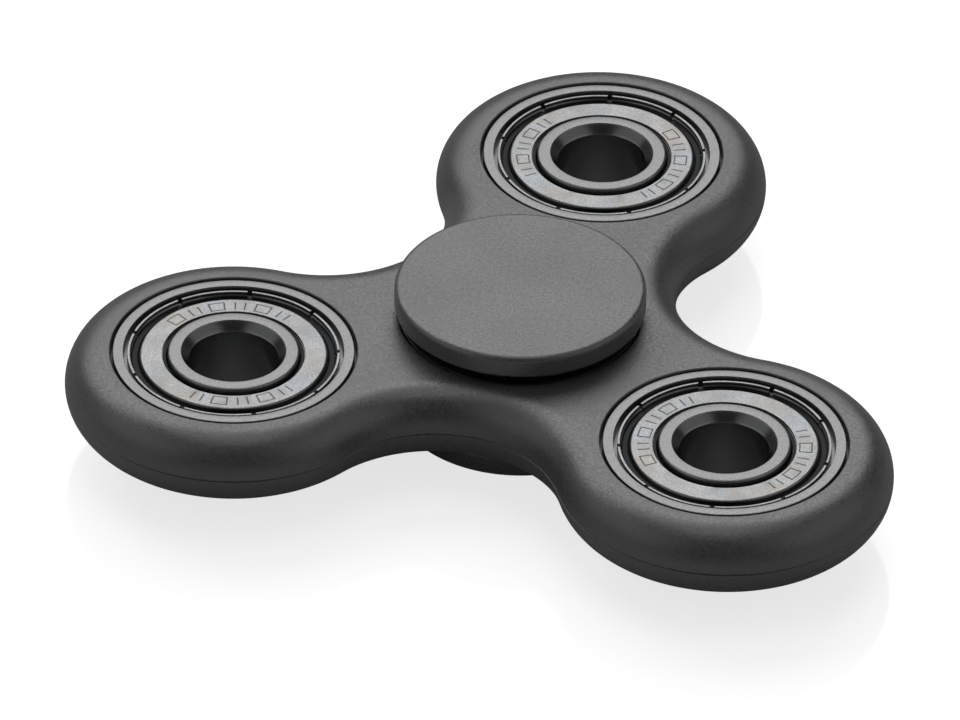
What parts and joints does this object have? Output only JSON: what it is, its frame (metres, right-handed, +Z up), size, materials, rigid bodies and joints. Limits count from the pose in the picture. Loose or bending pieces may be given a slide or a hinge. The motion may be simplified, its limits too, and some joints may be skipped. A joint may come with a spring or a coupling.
{
  "type": "fidget spinner",
  "caption": "Flat fidget spinner with rounded lobes, a shielded ball bearing in every lobe, and round finger pads on the central bearing it turns on.",
  "frame": {"origin": "centre of the lower finger pad's resting face, on the spin axis", "axes": "+Z up along the spin axis from the lower pad to the upper pad; +Y from the spin axis to the back lobe; +X to the right between the two front lobes"},
  "size_m": [0.0772, 0.0709, 0.0134],
  "materials": {
    "body_plastic": "moulded dark grey, fine grain",
    "pad_plastic": "moulded dark grey, fine grain",
    "ring_steel": "ground bearing steel",
    "shield_steel": "pressed bright sheet steel",
    "cage_steel": "pressed sheet steel",
    "ball_steel": "polished bearing balls"
  },
  "bodies": {
    "finger_pads": {"lower_finger_pad": "pad_plastic", "upper_finger_pad": "pad_plastic", "centre_inner_ring": "ring_steel"},
    "spinner_body": {"body": "body_plastic", "centre_outer_ring": "ring_steel", "centre_upper_shield": "shield_steel", "centre_lower_shield": "shield_steel", "back_outer_ring": "ring_steel", "back_upper_shield": "shield_steel", "back_lower_shield": "shield_steel", "left_outer_ring": "ring_steel", "left_upper_shield": "shield_steel", "left_lower_shield": "shield_steel", "right_outer_ring": "ring_steel", "right_upper_shield": "shield_steel", "right_lower_shield": "shield_steel"},
    "back_hub": {"back_inner_ring": "ring_steel"},
    "left_hub": {"left_inner_ring": "ring_steel"},
    "right_hub": {"right_inner_ring": "ring_steel"},
    "centre_cage": {"centre_upper_cage": "cage_steel", "centre_lower_cage": "cage_steel"},
    "back_cage": {"back_upper_cage": "cage_steel", "back_lower_cage": "cage_steel"},
    "left_cage": {"left_upper_cage": "cage_steel", "left_lower_cage": "cage_steel"},
    "right_cage": {"right_upper_cage": "cage_steel", "right_lower_cage": "cage_steel"},
    "centre_ball_1": {"centre_ball_1": "ball_steel"},
    "centre_ball_2": {"centre_ball_2": "ball_steel"},
    "centre_ball_3": {"centre_ball_3": "ball_steel"},
    "centre_ball_4": {"centre_ball_4": "ball_steel"},
    "centre_ball_5": {"centre_ball_5": "ball_steel"},
    "centre_ball_6": {"centre_ball_6": "ball_steel"},
    "centre_ball_7": {"centre_ball_7": "ball_steel"},
    "back_ball_1": {"back_ball_1": "ball_steel"},
    "back_ball_2": {"back_ball_2": "ball_steel"},
    "back_ball_3": {"back_ball_3": "ball_steel"},
    "back_ball_4": {"back_ball_4": "ball_steel"},
    "back_ball_5": {"back_ball_5": "ball_steel"},
    "back_ball_6": {"back_ball_6": "ball_steel"},
    "back_ball_7": {"back_ball_7": "ball_steel"},
    "left_ball_1": {"left_ball_1": "ball_steel"},
    "left_ball_2": {"left_ball_2": "ball_steel"},
    "left_ball_3": {"left_ball_3": "ball_steel"},
    "left_ball_4": {"left_ball_4": "ball_steel"},
    "left_ball_5": {"left_ball_5": "ball_steel"},
    "left_ball_6": {"left_ball_6": "ball_steel"},
    "left_ball_7": {"left_ball_7": "ball_steel"},
    "right_ball_1": {"right_ball_1": "ball_steel"},
    "right_ball_2": {"right_ball_2": "ball_steel"},
    "right_ball_3": {"right_ball_3": "ball_steel"},
    "right_ball_4": {"right_ball_4": "ball_steel"},
    "right_ball_5": {"right_ball_5": "ball_steel"},
    "right_ball_6": {"right_ball_6": "ball_steel"},
    "right_ball_7": {"right_ball_7": "ball_steel"}
  },
  "joints": [
    {"name": "body_spin", "type": "hinge", "parent": "finger_pads", "child": "spinner_body", "pos_m": [0, 0, 0.0067], "axis": [0, 0, 1], "continuous": true},
    {"name": "centre_cage_turn", "type": "hinge", "parent": "finger_pads", "child": "centre_cage", "pos_m": [0, 0, 0.0067], "axis": [0, 0, 1], "continuous": true},
    {"name": "back_hub_spin", "type": "hinge", "parent": "spinner_body", "child": "back_hub", "pos_m": [0, 0.02678, 0.0067], "axis": [0, 0, 1], "continuous": true},
    {"name": "back_cage_turn", "type": "hinge", "parent": "spinner_body", "child": "back_cage", "pos_m": [0, 0.02678, 0.0067], "axis": [0, 0, 1], "continuous": true},
    {"name": "left_hub_spin", "type": "hinge", "parent": "spinner_body", "child": "left_hub", "pos_m": [-0.02319, -0.01339, 0.0067], "axis": [0, 0, 1], "continuous": true},
    {"name": "left_cage_turn", "type": "hinge", "parent": "spinner_body", "child": "left_cage", "pos_m": [-0.02319, -0.01339, 0.0067], "axis": [0, 0, 1], "continuous": true},
    {"name": "right_hub_spin", "type": "hinge", "parent": "spinner_body", "child": "right_hub", "pos_m": [0.02319, -0.01339, 0.0067], "axis": [0, 0, 1], "continuous": true},
    {"name": "right_cage_turn", "type": "hinge", "parent": "spinner_body", "child": "right_cage", "pos_m": [0.02319, -0.01339, 0.0067], "axis": [0, 0, 1], "continuous": true},
    {"name": "centre_ball_1_roll", "type": "hinge", "parent": "centre_cage", "child": "centre_ball_1", "pos_m": [0.0075, 0, 0.0067], "axis": [0, 0, 1], "continuous": true},
    {"name": "centre_ball_2_roll", "type": "hinge", "parent": "centre_cage", "child": "centre_ball_2", "pos_m": [0.00468, 0.00586, 0.0067], "axis": [0, 0, 1], "continuous": true},
    {"name": "centre_ball_3_roll", "type": "hinge", "parent": "centre_cage", "child": "centre_ball_3", "pos_m": [-0.00167, 0.00731, 0.0067], "axis": [0, 0, 1], "continuous": true},
    {"name": "centre_ball_4_roll", "type": "hinge", "parent": "centre_cage", "child": "centre_ball_4", "pos_m": [-0.00676, 0.00325, 0.0067], "axis": [0, 0, 1], "continuous": true},
    {"name": "centre_ball_5_roll", "type": "hinge", "parent": "centre_cage", "child": "centre_ball_5", "pos_m": [-0.00676, -0.00325, 0.0067], "axis": [0, 0, 1], "continuous": true},
    {"name": "centre_ball_6_roll", "type": "hinge", "parent": "centre_cage", "child": "centre_ball_6", "pos_m": [-0.00167, -0.00731, 0.0067], "axis": [0, 0, 1], "continuous": true},
    {"name": "centre_ball_7_roll", "type": "hinge", "parent": "centre_cage", "child": "centre_ball_7", "pos_m": [0.00468, -0.00586, 0.0067], "axis": [0, 0, 1], "continuous": true},
    {"name": "back_ball_1_roll", "type": "hinge", "parent": "back_cage", "child": "back_ball_1", "pos_m": [0.0075, 0.02678, 0.0067], "axis": [0, 0, 1], "continuous": true},
    {"name": "back_ball_2_roll", "type": "hinge", "parent": "back_cage", "child": "back_ball_2", "pos_m": [0.00468, 0.03264, 0.0067], "axis": [0, 0, 1], "continuous": true},
    {"name": "back_ball_3_roll", "type": "hinge", "parent": "back_cage", "child": "back_ball_3", "pos_m": [-0.00167, 0.03409, 0.0067], "axis": [0, 0, 1], "continuous": true},
    {"name": "back_ball_4_roll", "type": "hinge", "parent": "back_cage", "child": "back_ball_4", "pos_m": [-0.00676, 0.03003, 0.0067], "axis": [0, 0, 1], "continuous": true},
    {"name": "back_ball_5_roll", "type": "hinge", "parent": "back_cage", "child": "back_ball_5", "pos_m": [-0.00676, 0.02353, 0.0067], "axis": [0, 0, 1], "continuous": true},
    {"name": "back_ball_6_roll", "type": "hinge", "parent": "back_cage", "child": "back_ball_6", "pos_m": [-0.00167, 0.01947, 0.0067], "axis": [0, 0, 1], "continuous": true},
    {"name": "back_ball_7_roll", "type": "hinge", "parent": "back_cage", "child": "back_ball_7", "pos_m": [0.00468, 0.02092, 0.0067], "axis": [0, 0, 1], "continuous": true},
    {"name": "left_ball_1_roll", "type": "hinge", "parent": "left_cage", "child": "left_ball_1", "pos_m": [-0.01569, -0.01339, 0.0067], "axis": [0, 0, 1], "continuous": true},
    {"name": "left_ball_2_roll", "type": "hinge", "parent": "left_cage", "child": "left_ball_2", "pos_m": [-0.01852, -0.00753, 0.0067], "axis": [0, 0, 1], "continuous": true},
    {"name": "left_ball_3_roll", "type": "hinge", "parent": "left_cage", "child": "left_ball_3", "pos_m": [-0.02486, -0.00608, 0.0067], "axis": [0, 0, 1], "continuous": true},
    {"name": "left_ball_4_roll", "type": "hinge", "parent": "left_cage", "child": "left_ball_4", "pos_m": [-0.02995, -0.01014, 0.0067], "axis": [0, 0, 1], "continuous": true},
    {"name": "left_ball_5_roll", "type": "hinge", "parent": "left_cage", "child": "left_ball_5", "pos_m": [-0.02995, -0.01664, 0.0067], "axis": [0, 0, 1], "continuous": true},
    {"name": "left_ball_6_roll", "type": "hinge", "parent": "left_cage", "child": "left_ball_6", "pos_m": [-0.02486, -0.0207, 0.0067], "axis": [0, 0, 1], "continuous": true},
    {"name": "left_ball_7_roll", "type": "hinge", "parent": "left_cage", "child": "left_ball_7", "pos_m": [-0.01852, -0.01925, 0.0067], "axis": [0, 0, 1], "continuous": true},
    {"name": "right_ball_1_roll", "type": "hinge", "parent": "right_cage", "child": "right_ball_1", "pos_m": [0.03069, -0.01339, 0.0067], "axis": [0, 0, 1], "continuous": true},
    {"name": "right_ball_2_roll", "type": "hinge", "parent": "right_cage", "child": "right_ball_2", "pos_m": [0.02787, -0.00753, 0.0067], "axis": [0, 0, 1], "continuous": true},
    {"name": "right_ball_3_roll", "type": "hinge", "parent": "right_cage", "child": "right_ball_3", "pos_m": [0.02152, -0.00608, 0.0067], "axis": [0, 0, 1], "continuous": true},
    {"name": "right_ball_4_roll", "type": "hinge", "parent": "right_cage", "child": "right_ball_4", "pos_m": [0.01643, -0.01014, 0.0067], "axis": [0, 0, 1], "continuous": true},
    {"name": "right_ball_5_roll", "type": "hinge", "parent": "right_cage", "child": "right_ball_5", "pos_m": [0.01643, -0.01664, 0.0067], "axis": [0, 0, 1], "continuous": true},
    {"name": "right_ball_6_roll", "type": "hinge", "parent": "right_cage", "child": "right_ball_6", "pos_m": [0.02152, -0.0207, 0.0067], "axis": [0, 0, 1], "continuous": true},
    {"name": "right_ball_7_roll", "type": "hinge", "parent": "right_cage", "child": "right_ball_7", "pos_m": [0.02787, -0.01925, 0.0067], "axis": [0, 0, 1], "continuous": true}
  ],
  "couplings": [
    {"joint": "centre_cage_turn", "follows": "body_spin", "ratio": 0.6323},
    {"joint": "back_cage_turn", "follows": "back_hub_spin", "ratio": 0.3677},
    {"joint": "left_cage_turn", "follows": "left_hub_spin", "ratio": 0.3677},
    {"joint": "right_cage_turn", "follows": "right_hub_spin", "ratio": 0.3677},
    {"joint": "centre_ball_1_roll", "follows": "body_spin", "ratio": 1.757},
    {"joint": "centre_ball_2_roll", "follows": "body_spin", "ratio": 1.757},
    {"joint": "centre_ball_3_roll", "follows": "body_spin", "ratio": 1.757},
    {"joint": "centre_ball_4_roll", "follows": "body_spin", "ratio": 1.757},
    {"joint": "centre_ball_5_roll", "follows": "body_spin", "ratio": 1.757},
    {"joint": "centre_ball_6_roll", "follows": "body_spin", "ratio": 1.757},
    {"joint": "centre_ball_7_roll", "follows": "body_spin", "ratio": 1.757},
    {"joint": "back_ball_1_roll", "follows": "back_hub_spin", "ratio": -1.757},
    {"joint": "back_ball_2_roll", "follows": "back_hub_spin", "ratio": -1.757},
    {"joint": "back_ball_3_roll", "follows": "back_hub_spin", "ratio": -1.757},
    {"joint": "back_ball_4_roll", "follows": "back_hub_spin", "ratio": -1.757},
    {"joint": "back_ball_5_roll", "follows": "back_hub_spin", "ratio": -1.757},
    {"joint": "back_ball_6_roll", "follows": "back_hub_spin", "ratio": -1.757},
    {"joint": "back_ball_7_roll", "follows": "back_hub_spin", "ratio": -1.757},
    {"joint": "left_ball_1_roll", "follows": "left_hub_spin", "ratio": -1.757},
    {"joint": "left_ball_2_roll", "follows": "left_hub_spin", "ratio": -1.757},
    {"joint": "left_ball_3_roll", "follows": "left_hub_spin", "ratio": -1.757},
    {"joint": "left_ball_4_roll", "follows": "left_hub_spin", "ratio": -1.757},
    {"joint": "left_ball_5_roll", "follows": "left_hub_spin", "ratio": -1.757},
    {"joint": "left_ball_6_roll", "follows": "left_hub_spin", "ratio": -1.757},
    {"joint": "left_ball_7_roll", "follows": "left_hub_spin", "ratio": -1.757},
    {"joint": "right_ball_1_roll", "follows": "right_hub_spin", "ratio": -1.757},
    {"joint": "right_ball_2_roll", "follows": "right_hub_spin", "ratio": -1.757},
    {"joint": "right_ball_3_roll", "follows": "right_hub_spin", "ratio": -1.757},
    {"joint": "right_ball_4_roll", "follows": "right_hub_spin", "ratio": -1.757},
    {"joint": "right_ball_5_roll", "follows": "right_hub_spin", "ratio": -1.757},
    {"joint": "right_ball_6_roll", "follows": "right_hub_spin", "ratio": -1.757},
    {"joint": "right_ball_7_roll", "follows": "right_hub_spin", "ratio": -1.757}
  ]
}
